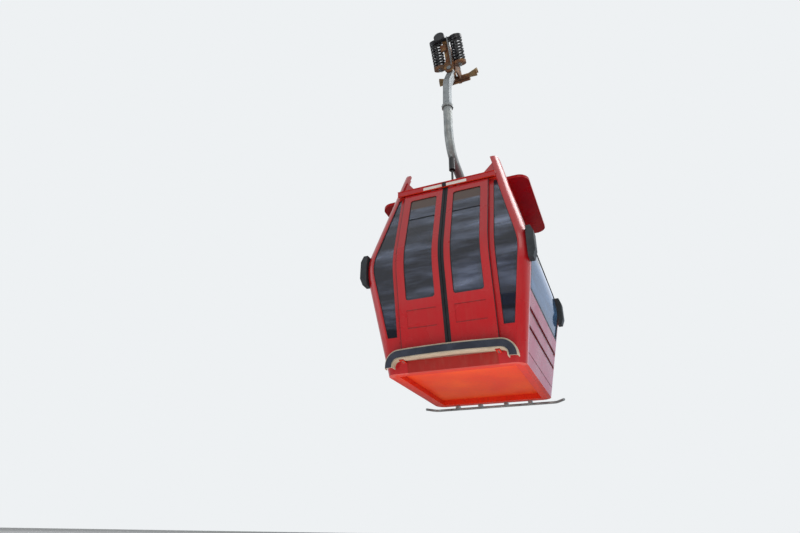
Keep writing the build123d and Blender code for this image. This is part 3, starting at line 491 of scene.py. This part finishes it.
class Surface(Enum):
    """Every finish on the cabin, its hanger and its grip."""

    # its orange on faces that look down is painted bounce light
    BODY = GlossEnamel("red_body_enamel", "#B0131B", "#AC1E24", dusty=0.08, coat=0.35, painted_bounce_light="#D83418")
    HOOD = GlossEnamel("red_hood_enamel", "#B40008", "#960A10", dusty=0.03, coat=0.0, shine=0.12)
    # the body's red painted lighter and orange for light bounced up from the floor
    UNDERSIDE = GlossEnamel("underside_painted_bounce_enamel", "#EC4016", "#F8602A", dust="#C0562C", dusty=0.3,
                            coat=0.0, dull=0.3)
    # the body's red painted darker for the shade under the bumper, on the sill and the bumper's brackets, with
    # painted bounce light on faces that look down
    SILL = GlossEnamel("shaded_sill_enamel", "#8E120C", "#9A1A12", dusty=0.2, coat=0.1, dull=0.1,
                       painted_bounce_light="#C02A14")
    # the body's red painted brighter and more orange for light bounced up from the floor; the darker streaks are
    # dust
    SKIRT = GlossEnamel("skirt_painted_bounce_enamel", "#D6260E", "#DC3A1C", dust="#7A2A1C", dusty=0.3, coat=0.05,
                        dull=0.2)
    SEAL = MouldedRubber("epdm_seal", "#0D0F14", "#1F232A")
    BAND = MouldedRubber("ribbed_bumper_band", "#1C2230", "#3A4250", patch_mm=160.0)
    BUFFER = MouldedRubber("moulded_rubber_buffer", "#22272C", "#3E4447")
    # the paler bands on these panes are painted sky reflection
    GLASS = TintedAcrylic("smoked_acrylic", shine=0.3)
    # its brown top band is a painted view of the ceiling lining seen through the pane
    DOOR_GLASS = TintedAcrylic("smoked_door_acrylic", shade="#5C4A42", shine=0.3)
    # blue tint, paler bands and low transmission: painted sky reflection over the smoke tint
    END_GLASS = TintedAcrylic("end_painted_sky_acrylic", "#34506E", "#587CA6", clear=0.12, sky_reflection_clear=0.04, shine=0.02)
    # pink tones are painted sky sheen on the red enamel, faces that look down get painted bounce light, and the
    # dark bands are painted groove shade
    PANEL = GlossEnamel("panel_painted_sky_sheen_enamel", "#962C3A", "#A84E66", dusty=0.1, coat=0.0, shine=0.12,
                        painted_bounce_light="#C8301C", bands=((487.0, 76.0), (327.0, 62.0), (107.0, 12.0)))
    # painted shade for the floors of the pressed grooves and for the press lines
    GROOVE = GlossEnamel("groove_painted_shade_enamel", "#6E1018", "#5A1A1C", dusty=0.3)
    ZINC = GalvanisedSteel("galvanised_steel")
    CASTING = GalvanisedSteel("galvanised_casting", "#7E8488", "#A0A6A9", crystal_mm=22.0, stained=0.35)
    ALUMINIUM = BrushedAluminium("aluminium_extrusion")
    GRIP = WeatheredCasting("weathered_cast_steel")
    SHOE = WeatheredCasting("zinc_plated_shoe", "#8A7A5C", "#7A5432", "#B79A62")
    # a lower threshold gives more grey spots: partly wear, partly painted highlights on the coils
    SPRING = LacqueredSteel("lacquered_spring_wire", worn_at=0.56)
    BLACK = LacqueredSteel("black_lacquered_steel", worn_at=0.68, rough=0.42)
    STRIP = PlainMoulding("white_vinyl_strip", "#E6E1DC", "#D2C6BE", pebble_mm=6.0, rough=0.45)
    LIP = PlainMoulding("cream_bumper_lip", "#BDB4A2", "#948873", pebble_mm=60.0, rough=0.5)
    SEAT = PlainMoulding("moulded_seat_shell", "#3A3E42", "#4A4E52", pebble_mm=6.0)
    FLOOR = PlainMoulding("studded_floor", "#4C4B49", "#5E5A55", pebble_mm=12.0, rough=0.7)
    LINING = PlainMoulding("ceiling_lining", "#8C7A68", "#7A6A5C", pebble_mm=8.0, rough=0.7)


MADE: dict[Surface, bpy.types.Material] = {}


def finish_of(surface: Surface) -> bpy.types.Material:
    """The material of a finish, built once.

    Args:
        surface: the finish.

    Returns:
        Its material.
    """
    if surface not in MADE:
        MADE[surface] = surface.value.make()
    return MADE[surface]


def dress(thing: bpy.types.Object, surface: Surface, crease: float) -> None:
    """Put one finish on a whole piece and shade its curved faces smooth.

    Args:
        thing: the piece.
        surface: its finish.
        crease: degrees between faces above which an edge stays hard.
    """
    thing.data.materials.clear()
    thing.data.materials.append(finish_of(surface))
    for face in thing.data.polygons:
        face.use_smooth = True
    thing.data.set_sharp_from_angle(angle=math.radians(crease))


def piece_from(mesh: bmesh.types.BMesh, name: str, body: str, surface: Surface) -> bpy.types.Object:
    """Turn a finished bmesh into a dressed piece that rides on a body.

    Args:
        mesh: the shape, which is freed.
        name: the piece's name.
        body: the body it rides on.
        surface: its finish.

    Returns:
        The new object.
    """
    bmesh.ops.recalc_face_normals(mesh, faces=mesh.faces)
    data = bpy.data.meshes.new(name)
    mesh.to_mesh(data)
    mesh.free()
    thing = bpy.data.objects.new(name, data)
    bpy.context.scene.collection.objects.link(thing)
    dress(thing, surface, PIECE_CREASE)
    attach(thing, body)
    log.info("%s: %d faces on %s", name, len(data.polygons), body)
    return thing


def add_box(name: str, body: str, surface: Surface, middle: Triple, size: Triple) -> None:
    """Add a plain box as a piece of its own.

    Args:
        name: the piece's name.
        body: the body it rides on.
        surface: its finish.
        middle: its middle in the shared frame.
        size: its sizes along X, Y and Z.
    """
    mesh = bmesh.new()
    bmesh.ops.create_cube(mesh, size=1.0, matrix=Matrix.Translation(middle) @ Matrix.Diagonal((*size, 1.0)))
    piece_from(mesh, name, body, surface)


def facing(axis: Vector) -> Matrix:
    """A rotation that turns +Z to an axis."""
    return axis.to_track_quat("Z", "Y").to_matrix().to_4x4()


def add_prism(mesh: bmesh.types.BMesh, place: Vector, axis: Vector, radius: float, height: float, sides: int,
              crown: float = 0.0) -> None:
    """Add a prism that stands on a point, with a bevelled crown.

    Args:
        mesh: the mesh it joins.
        place: centre of its foot.
        axis: the way it stands.
        radius: radius of its corners.
        height: how far it stands out.
        sides: number of sides.
        crown: how far the top edge is cut back.
    """
    turn = Matrix.Translation(place) @ facing(axis)
    rings = [(radius, 0.0), (radius, height - crown)] + ([(radius - crown, height)] if crown else [])
    loops = []
    for ring, level in rings:
        loops.append([mesh.verts.new(turn @ Vector((ring * math.cos(math.tau * i / sides),
                                                    ring * math.sin(math.tau * i / sides), level)))
                      for i in range(sides)])
    for low, high in zip(loops, loops[1:]):
        for i in range(sides):
            mesh.faces.new((low[i], low[(i + 1) % sides], high[(i + 1) % sides], high[i]))
    mesh.faces.new(loops[-1])
    mesh.faces.new(loops[0][::-1])


def add_bolt(mesh: bmesh.types.BMesh, place: Vector, axis: Vector, size: float) -> None:
    """Add a hexagon head on its washer.

    Args:
        mesh: the mesh it joins.
        place: where the washer lies.
        axis: the way the head stands out.
        size: the thread's diameter in metres.
    """
    direction = axis.normalized()
    for radius, height, sides, crown in (WASHER, HEAD):
        add_prism(mesh, place, direction, size * radius, size * height, sides, size * crown)
        place = place + direction * size * height


def outer_loops(node: str, outward: Callable[[Vector], float]) -> list[list[Vector]]:
    """Outlines of the faces of a CAD node that look outward.

    Args:
        node: the CAD node.
        outward: gives how far a normal looks outward, from a normal.

    Returns:
        One closed list of points for each outline.
    """
    mesh = bmesh.new()
    mesh.from_mesh(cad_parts[node].data)
    bmesh.ops.remove_doubles(mesh, verts=mesh.verts, dist=WELD)
    drop = [face for face in mesh.faces if outward(face.normal) < OUTWARD]
    bmesh.ops.delete(mesh, geom=drop, context="FACES")
    open_edges = {edge for edge in mesh.edges if edge.is_boundary}
    loops = []
    while open_edges:
        edge = open_edges.pop()
        start, last = edge.verts
        points = [start.co.copy(), last.co.copy()]
        while last is not start:
            step = next((e for e in last.link_edges if e in open_edges), None)
            if step is None:
                break
            open_edges.discard(step)
            last = step.other_vert(last)
            points.append(last.co.copy())
        if last is start:
            loops.append(points[:-1])
    mesh.free()
    return loops


def bead_along(name: str, loops: Iterable[Sequence[Vector]], radius: float, body: str, surface: Surface,
               shift: Vector = Vector((0.0, 0.0, 0.0)), closed: bool = True) -> bpy.types.Object:
    """Lay a round bead of rubber or weld along outlines.

    Args:
        name: the piece's name.
        loops: the outlines.
        radius: radius of the bead.
        body: the body it rides on.
        surface: its finish.
        shift: how far the bead lies from the outlines.
        closed: whether each outline is closed.

    Returns:
        The new piece.
    """
    curve = bpy.data.curves.new(name, "CURVE")
    curve.dimensions = "3D"
    curve.bevel_depth = radius
    curve.bevel_resolution = 2
    curve.use_fill_caps = True
    for points in loops:
        spline = curve.splines.new("POLY")
        spline.points.add(len(points) - 1)
        for target, point in zip(spline.points, points):
            target.co = (*(point + shift), 1.0)
        spline.use_cyclic_u = closed
    holder = bpy.data.objects.new(name, curve)
    bpy.context.scene.collection.objects.link(holder)
    bpy.context.view_layer.update()
    data = bpy.data.meshes.new_from_object(holder.evaluated_get(bpy.context.evaluated_depsgraph_get()))
    bpy.data.objects.remove(holder)
    mesh = bmesh.new()
    mesh.from_mesh(data)
    bpy.data.meshes.remove(data)
    return piece_from(mesh, name, body, surface)


NODE_SURFACES: dict[str, Surface] = {
    "benches": Surface.SEAT,
    "buffers": Surface.BUFFER,
    "bumper_rail": Surface.LIP,
    "bumper_rubber": Surface.BAND,
    "damper": Surface.BLACK,
    "door_hangers_left": Surface.ZINC,
    "door_hangers_right": Surface.ZINC,
    "door_seal_left": Surface.SEAL,
    "door_seal_right": Surface.SEAL,
    "end_window_seals": Surface.SEAL,
    "door_sill": Surface.SILL,
    "floor_frame": Surface.SKIRT,
    "floor_pan": Surface.UNDERSIDE,
    "bumper_brackets": Surface.SILL,
    "end_panel_left": Surface.PANEL,
    "end_panel_right": Surface.PANEL,
    "end_window_glass": Surface.END_GLASS,
    "foot_pins": Surface.ZINC,
    "grip_body": Surface.GRIP,
    "spring_seat": Surface.GRIP,
    "guide_rail": Surface.ZINC,
    "hanger_arm": Surface.CASTING,
    "hanger_foot": Surface.CASTING,
    "hanger_tube": Surface.ZINC,
    "header_labels": Surface.STRIP,
    "hoods": Surface.HOOD,
    "jaw_lever": Surface.GRIP,
    "spring_yoke": Surface.BLACK,
    "lever_roller": Surface.BLACK,
    "lever_pin": Surface.ZINC,
    "pivot_pin": Surface.ZINC,
    "roof_frame": Surface.ZINC,
    "rope_shoes": Surface.SHOE,
    "sill_guide": Surface.ALUMINIUM,
    "spring_rods": Surface.ZINC,
    "springs": Surface.SPRING,
}


@dataclass
class Shell:
    """The red body with its windows, seals, beads and bolts, in metres."""

    bead: float = 0.0055
    lip: float = 0.0065
    vent_height: float = 1.6
    vent_bar: float = 0.007
    belt_height: float = 1.08
    belt_half_y: float = 1.005
    pane_face: float = 0.0228
    pane_slack: float = 0.02
    press_heights: Span = (0.392, 0.56)
    press_span: Span = (0.092, 0.388)
    press_line: float = 0.0025
    leaf_face: float = 0.034
    leaf_facing: float = -0.7  # the normal's Y of a leaf's front
    edge_slack: float = 0.001
    floor_half_x: float = 0.664
    floor_half_y: float = 0.767
    lean_x: float = 0.183 / 1.08
    lean_y: float = 0.238 / 1.08
    upper_lean: float = 0.35 / 1.3
    post_width: float = 0.121
    lining_height: float = 2.0365
    lining_size: Triple = (1.1, 1.3, 0.004)
    covering_height: float = 0.0925
    covering_size: Triple = (0.7, 1.34, 0.004)
    bridge_place: Triple = (-0.009, -0.8212, 2.011)  # its last figure is a height
    bridge_size: Triple = (0.042, 0.003, 0.056)
    grooves: tuple[Triple, ...] = ((0.487, 0.042, 0.0125), (0.327, 0.030, 0.0125),
                                   (0.107, 0.007, 0.0045))  # height, width and depth of each
    screw: float = 0.008
    gusset_screws: tuple[Triple, ...] = ((0.505, 0.7144, 2.1), (0.43, 0.7144, 2.1), (0.52, 0.6875, 2.2))
    bracket_screws: Span = (0.35, 0.7)  # shares of a bracket's depth

    def dress_nodes(self) -> None:
        """Put a finish on every CAD node, and smooth its curved faces."""
        for name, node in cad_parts.items():
            glazing = Surface.DOOR_GLASS if "door_glass" in name else Surface.GLASS
            surface = NODE_SURFACES.get(name, glazing if "glass" in name else Surface.BODY)
            dress(node, surface, NODE_CREASE)
            log.info("%s wears %s", name, surface.name.lower())

    def window_beads(self) -> None:
        """Lay the rubber bead that holds each pane in its panel."""
        front = outer_loops("quarter_glass", lambda normal: abs(normal.y))
        outer = [loop for loop in front if abs(loop[0].y) > self.pane_middle("quarter_glass", loop)]
        bead_along("quarter_window_beads", outer, self.bead, "cabin", Surface.SEAL)
        rear = outer_loops("rear_glass", lambda normal: normal.y)
        bead_along("rear_window_beads", rear, self.bead, "cabin", Surface.SEAL)
        for side in SIDES:
            loops = outer_loops(f"door_glass_{side}", lambda normal: -normal.y)
            bead_along(f"door_window_bead_{side}", loops, self.bead, f"door_{side}", Surface.SEAL)
        for side, way in SIDES.items():
            loops = outer_loops("end_window_glass", lambda normal, way=way: way * normal.x)
            outer = [loop for loop in loops if way * loop[0].x > 0]
            bead_along(f"end_window_bead_{side}", outer, self.bead, "cabin", Surface.SEAL)

    def pane_middle(self, node: str, loop: Sequence[Vector]) -> float:
        """Depth that parts the outer outline of a pane from its inner one.

        Args:
            node: the pane's CAD node.
            loop: an outline of it.

        Returns:
            The depth, at the level where the outline starts.
        """
        level = loop[0].z
        corners = (v.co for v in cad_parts[node].data.vertices)
        near = [abs(c.y) for c in corners if abs(c.z - level) < self.pane_slack]
        return (min(near) + max(near)) / 2

    def leaf_edges(self) -> None:
        """Lay the rubber lip along the outer edge of each leaf, no prouder than its face."""
        for side in SIDES:
            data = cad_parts[f"door_leaf_{side}"].data
            edge = max(abs(v.co.x) for v in data.vertices) - self.edge_slack
            faces = (face for face in data.polygons if face.normal.y < self.leaf_facing)
            corners = (data.vertices[i].co for face in faces for i in face.vertices)
            front = {round(c.z, 3): c + Vector((0.0, self.lip, 0.0)) for c in corners if abs(c.x) > edge}
            line = [front[level] for level in sorted(front)]
            bead_along(f"leaf_edge_lip_{side}", [line], self.lip, f"door_{side}", Surface.SEAL, closed=False)

    def vent_bars(self) -> None:
        """Add the bar at the foot of the opening vent across each leaf's pane."""
        y = self.upper_lean * (self.vent_height - self.belt_height) - self.belt_half_y - self.pane_face
        for side, way in SIDES.items():
            line = [Vector((way * x, y, up(self.vent_height))) for x in self.press_span]
            bead_along(f"vent_bar_{side}", [line], self.vent_bar, f"door_{side}", Surface.SEAL, closed=False)

    def press_lines(self) -> None:
        """Draw the shadow lines at the top and foot of each leaf's pressed panel."""
        for side, way in SIDES.items():
            lines = []
            for height in self.press_heights:
                y = -(self.floor_half_y + self.lean_y * height + self.leaf_face)
                lines.append([Vector((way * x, y, up(height))) for x in self.press_span])
            bead_along(f"press_lines_{side}", lines, self.press_line, f"door_{side}", Surface.GROOVE,
                       closed=False)

    def linings(self) -> None:
        """Add the tan ceiling lining and the studded floor covering inside."""
        add_box("ceiling_lining", "cabin", Surface.LINING, (0, 0, up(self.lining_height)), self.lining_size)
        add_box("floor_covering", "cabin", Surface.FLOOR, (0, 0, up(self.covering_height)), self.covering_size)

    def groove_floors(self) -> None:
        """Colour the floors of the pressed grooves in the end panels dark, as painted shade."""
        for side, sign in SIDES.items():
            mesh = bmesh.new()
            for middle, width, depth in self.grooves:
                corners = []
                for height, way in ((middle - width / 2, -1), (middle - width / 2, 1),
                                    (middle + width / 2, 1), (middle + width / 2, -1)):
                    x = self.floor_half_x + self.lean_x * height - depth
                    y = self.floor_half_y + self.lean_y * height - self.post_width
                    corners.append(mesh.verts.new((sign * x, way * y, up(height))))
                mesh.faces.new(corners)
            piece_from(mesh, f"groove_floors_{side}", "cabin", Surface.GROOVE)

    def seal_bridge(self) -> None:
        """Carry the middle seal up over the rail, between the two blank labels."""
        x, y, height = self.bridge_place
        add_box("seal_bridge", "cabin", Surface.SEAL, (x, y, up(height)), self.bridge_size)

    def screws(self) -> None:
        """Add the screws of the roof gussets and of the bumper's brackets."""
        mesh = bmesh.new()
        for side in SIDES.values():
            for way in (-1, 1):
                for x, y, height in self.gusset_screws:
                    out = Vector((0, way, self.upper_lean)).normalized()
                    add_bolt(mesh, Vector((side * x, way * y, up(height))), out, self.screw)
        corners = [v.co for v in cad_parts["bumper_brackets"].data.vertices]
        for side in SIDES.values():
            own = [c for c in corners if c.x * side > 0]
            base = min(c.z for c in own)
            low = [c for c in own if c.z < base + self.edge_slack]
            middle = sum(c.x for c in low) / len(low)
            near, far = min(c.y for c in low), max(c.y for c in low)
            for share in self.bracket_screws:
                place = Vector((middle, near + share * (far - near), base))
                add_bolt(mesh, place, Vector((0, 0, -1)), self.screw)
        piece_from(mesh, "shell_screws", "cabin", Surface.ZINC)

    def build(self) -> None:
        """Build and dress the shell."""
        self.dress_nodes()
        self.window_beads()
        self.leaf_edges()
        self.vent_bars()
        self.press_lines()
        self.linings()
        self.groove_floors()
        self.seal_bridge()
        self.screws()


@dataclass
class Hanger:
    """Bolts of the hanger's foot and collar, in metres."""

    bolt: float = 0.016
    base_height: float = 2.142
    base_places: tuple[Span, ...] = ((0.16, 0.085), (-0.16, 0.085), (0.16, -0.085), (-0.16, -0.085))
    collar_y: float = -0.618
    collar_height: float = 3.29
    collar_radius: float = 0.068
    collar_screw: float = 0.008
    collar_screws: int = 6
    sunk: float = 0.001

    def build(self) -> None:
        """Build the base's bolts and the screws round the collar."""
        mesh = bmesh.new()
        for x, y in self.base_places:
            add_bolt(mesh, Vector((x, y, up(self.base_height))), Vector((0, 0, 1)), self.bolt)
        middle = Vector((0, self.collar_y, up(self.collar_height)))
        for i in range(self.collar_screws):
            angle = math.tau * (i + 0.5) / self.collar_screws
            out = Vector((math.cos(angle), math.sin(angle), 0.0))
            add_bolt(mesh, middle + out * (self.collar_radius - self.sunk), out, self.collar_screw)
        piece_from(mesh, "hanger_bolts", "cabin", Surface.ZINC)


@dataclass
class Grip:
    """Rod nuts, guide, strap and plate bolts that dress the spring grip, in metres."""

    seat: Span = (-0.44, -0.155)  # Y and Z of the springs' seat
    lean: float = math.radians(30)
    length: float = 0.3
    cup: float = 0.038
    spring_x: float = 0.136
    guide: tuple[Span, Span] = ((-0.04, 0.026), (-0.02, 0.03))  # spans across and forward
    block: tuple[Span, Span, Span] = ((-0.075, 0.0), (0.03, 0.06), (0.17, 0.25))  # across, forward, up
    strap: tuple[Span, Span] = ((0.03, 0.042), (0.0, 0.075))
    strap_foot: float = -0.03
    rod_nut: float = 0.026
    cup_screw: float = 0.013
    cup_screws: Span = (-0.055, 0.055)
    plate_bolt: float = 0.014
    plate_x: float = 0.046
    plate_bolts: tuple[Span, ...] = ((-0.42, -0.13), (-0.27, -0.03), (-0.2, 0.04), (-0.13, 0.02))

    def along(self, x: float, forward: float, level: float) -> Vector:
        """A point beside the springs.

        Args:
            x: place along the rope.
            forward: how far to the front of the springs' plane, square to it.
            level: how far up the springs' axis from the seat.

        Returns:
            The point in the shared frame.
        """
        y = self.seat[0] - math.sin(self.lean) * level - math.cos(self.lean) * forward
        z = self.seat[1] + math.cos(self.lean) * level - math.sin(self.lean) * forward
        return Vector((x, y, z))

    def bar(self, mesh: bmesh.types.BMesh, x: Span, forward: Span, level: Span) -> None:
        """Add a bar that lies along the springs.

        Args:
            mesh: the mesh it joins.
            x: its span along the rope.
            forward: its span square to the springs' plane.
            level: its span up the springs' axis.
        """
        corners = [[[mesh.verts.new(self.along(a, b, c)) for c in level] for b in forward] for a in x]
        for i in range(2):
            mesh.faces.new((corners[i][0][0], corners[i][0][1], corners[i][1][1], corners[i][1][0]))
            mesh.faces.new((corners[0][i][0], corners[0][i][1], corners[1][i][1], corners[1][i][0]))
            mesh.faces.new((corners[0][0][i], corners[0][1][i], corners[1][1][i], corners[1][0][i]))

    def build(self) -> None:
        """Build the grip's small parts."""
        axis = self.along(0, 0, 1) - self.along(0, 0, 0)
        top = self.length + self.cup
        guide = bmesh.new()
        self.bar(guide, *self.guide, (0.0, self.length))
        self.bar(guide, *self.block)
        piece_from(guide, "spring_guide", "grip", Surface.GRIP)
        strap = bmesh.new()
        self.bar(strap, *self.strap, (self.strap_foot, top))
        piece_from(strap, "guide_strap", "grip", Surface.CASTING)
        nuts = bmesh.new()
        plates = bmesh.new()
        for side in SIDES.values():
            x = side * self.spring_x
            for level, way in ((top, 1), (-self.cup, -1)):
                add_bolt(nuts, self.along(x, 0, level), axis * way, self.rod_nut)
                for forward in self.cup_screws:
                    add_bolt(nuts, self.along(x, forward, level), axis * way, self.cup_screw)
            for y, z in self.plate_bolts:
                add_bolt(plates, Vector((side * self.plate_x, y, z)), Vector((side, 0, 0)), self.plate_bolt)
        piece_from(nuts, "spring_rod_nuts", "grip", Surface.ZINC)
        piece_from(plates, "grip_plate_bolts", "grip", Surface.ZINC)


@dataclass(frozen=True)
class Lamp:
    """One square soft lamp."""

    name: str
    place: Triple
    aim: Triple
    size: float  # its side in metres
    power: float  # in watts
    colour: str = "#FFFFFF"

    def hang(self) -> None:
        """Hang the lamp out of the camera's sight."""
        data = bpy.data.lights.new(self.name, "AREA")
        data.size = self.size
        data.energy = self.power
        data.color = linear(self.colour)[:3]
        thing = bpy.data.objects.new(self.name, data)
        thing.visible_camera = False
        turn = (Vector(self.aim) - Vector(self.place)).to_track_quat("-Z", "Y").to_matrix().to_4x4()
        thing.matrix_world = Matrix.Translation(Vector(self.place)) @ turn
        bpy.context.scene.collection.objects.link(thing)


CABIN_MIDDLE = (0.0, 0.0, -3.0)
LAMPS = (
    Lamp("key_lamp", (3.5, -7.5, 1.0), CABIN_MIDDLE, 5.0, 200.0, "#FFF8EF"),
    Lamp("side_lamp", (7.0, 1.5, -0.5), CABIN_MIDDLE, 3.0, 120.0),
    Lamp("fill_lamp", (-6.5, -4.5, -2.0), CABIN_MIDDLE, 5.0, 90.0, "#F2F6FF"),
    Lamp("under_lamp", (0.3, -2.4, -5.6), (0.3, -2.4, -4.0), 3.5, 64.0, "#FFF0E4"),
    Lamp("sky_lamp", (4.4, 1.7, 3.6), (0.6, -0.6, -2.6), 3.6, 250.0),
    Lamp("back_lamp", (3.4, 9.0, -1.4), (0.7, 0.0, -3.6), 6.0, 60.0, "#B0CCFF"),
)


@dataclass
class Studio:
    """Pale floor, pale world, soft lamps and the camera at the photograph's place."""

    focal_px: float = 523.45
    width_px: float = 800.0
    sensor_mm: float = 36.0
    sight: float = 200.0  # how far the camera sees, in metres
    yaw: float = -23.44
    pitch: float = 27.03
    roll: float = 0.89
    eye: Triple = (1.4045, -5.2332, -5.703)
    light: str = "#E9ECEF"  # of the surroundings where they only light the cabin
    light_strength: float = 0.36
    backdrop: str = "#EEF1F3"  # of the surroundings where they are seen or mirrored
    backdrop_strength: float = 1.0
    floor_size: float = 400.0
    floor_drop: float = 0.05  # below the eye

    def camera(self) -> None:
        """Set the camera where the photograph was taken from."""
        yaw, pitch, roll = (math.radians(a) for a in (self.yaw, self.pitch, self.roll))
        forward = Vector((math.sin(yaw) * math.cos(pitch), math.cos(yaw) * math.cos(pitch), math.sin(pitch)))
        level = Vector((math.cos(yaw), -math.sin(yaw), 0.0))
        above = level.cross(forward)
        right = level * math.cos(roll) + above * math.sin(roll)
        top = above * math.cos(roll) - level * math.sin(roll)
        data = bpy.data.cameras.new("camera")
        data.sensor_width = self.sensor_mm
        data.lens = self.focal_px * data.sensor_width / self.width_px
        data.clip_end = self.sight
        thing = bpy.data.objects.new("camera", data)
        turn = Matrix((right, top, -forward)).transposed().to_4x4()
        thing.matrix_world = Matrix.Translation(Vector(self.eye)) @ turn
        bpy.context.scene.collection.objects.link(thing)
        bpy.context.scene.camera = thing

    def world(self) -> None:
        """Light from pale even surroundings, which look white in themselves, in gloss and through glass."""
        world = bpy.data.worlds.new("pale_world")
        world.use_nodes = True
        tree = world.node_tree
        tree.nodes.clear()
        back = add_node(tree, "ShaderNodeBackground",
                        {"Color": linear(self.light), "Strength": self.light_strength})
        seen = add_node(tree, "ShaderNodeBackground",
                        {"Color": linear(self.backdrop), "Strength": self.backdrop_strength})
        path = add_node(tree, "ShaderNodeLightPath")
        shown = path.outputs["Is Camera Ray"]
        for ray in ("Is Glossy Ray", "Is Transmission Ray"):
            shown = add_node(tree, "ShaderNodeMath", {0: shown, 1: path.outputs[ray]},
                             operation="MAXIMUM").outputs[0]
        mixed = add_node(tree, "ShaderNodeMixShader", {0: shown, 1: back.outputs[0], 2: seen.outputs[0]})
        add_node(tree, "ShaderNodeOutputWorld", {0: mixed.outputs[0]})
        bpy.context.scene.world = world

    def floor(self) -> None:
        """Lay the pale floor just below the camera's level."""
        mesh = bmesh.new()
        bmesh.ops.create_grid(mesh, x_segments=1, y_segments=1, size=self.floor_size / 2)
        data = bpy.data.meshes.new("floor")
        mesh.to_mesh(data)
        mesh.free()
        thing = bpy.data.objects.new("floor", data)
        thing.location = (0.0, 0.0, self.eye[2] - self.floor_drop)
        bpy.context.scene.collection.objects.link(thing)
        paint = PlainMoulding("pale_floor", "#DADBDA", "#D4D5D4", pebble_mm=20.0, rough=0.8)
        thing.data.materials.append(paint.make())

    def build(self) -> None:
        """Set up the camera, world, floor and lamps."""
        self.camera()
        self.world()
        self.floor()
        for lamp in LAMPS:
            lamp.hang()
        bpy.context.scene.view_settings.view_transform = "Standard"


def main() -> None:
    """Build every sub-assembly in order."""
    logging.basicConfig(level=logging.INFO, format="%(message)s")
    Studio().build()
    Shell().build()
    Hanger().build()
    Grip().build()


if __name__ == "__main__":
    main()
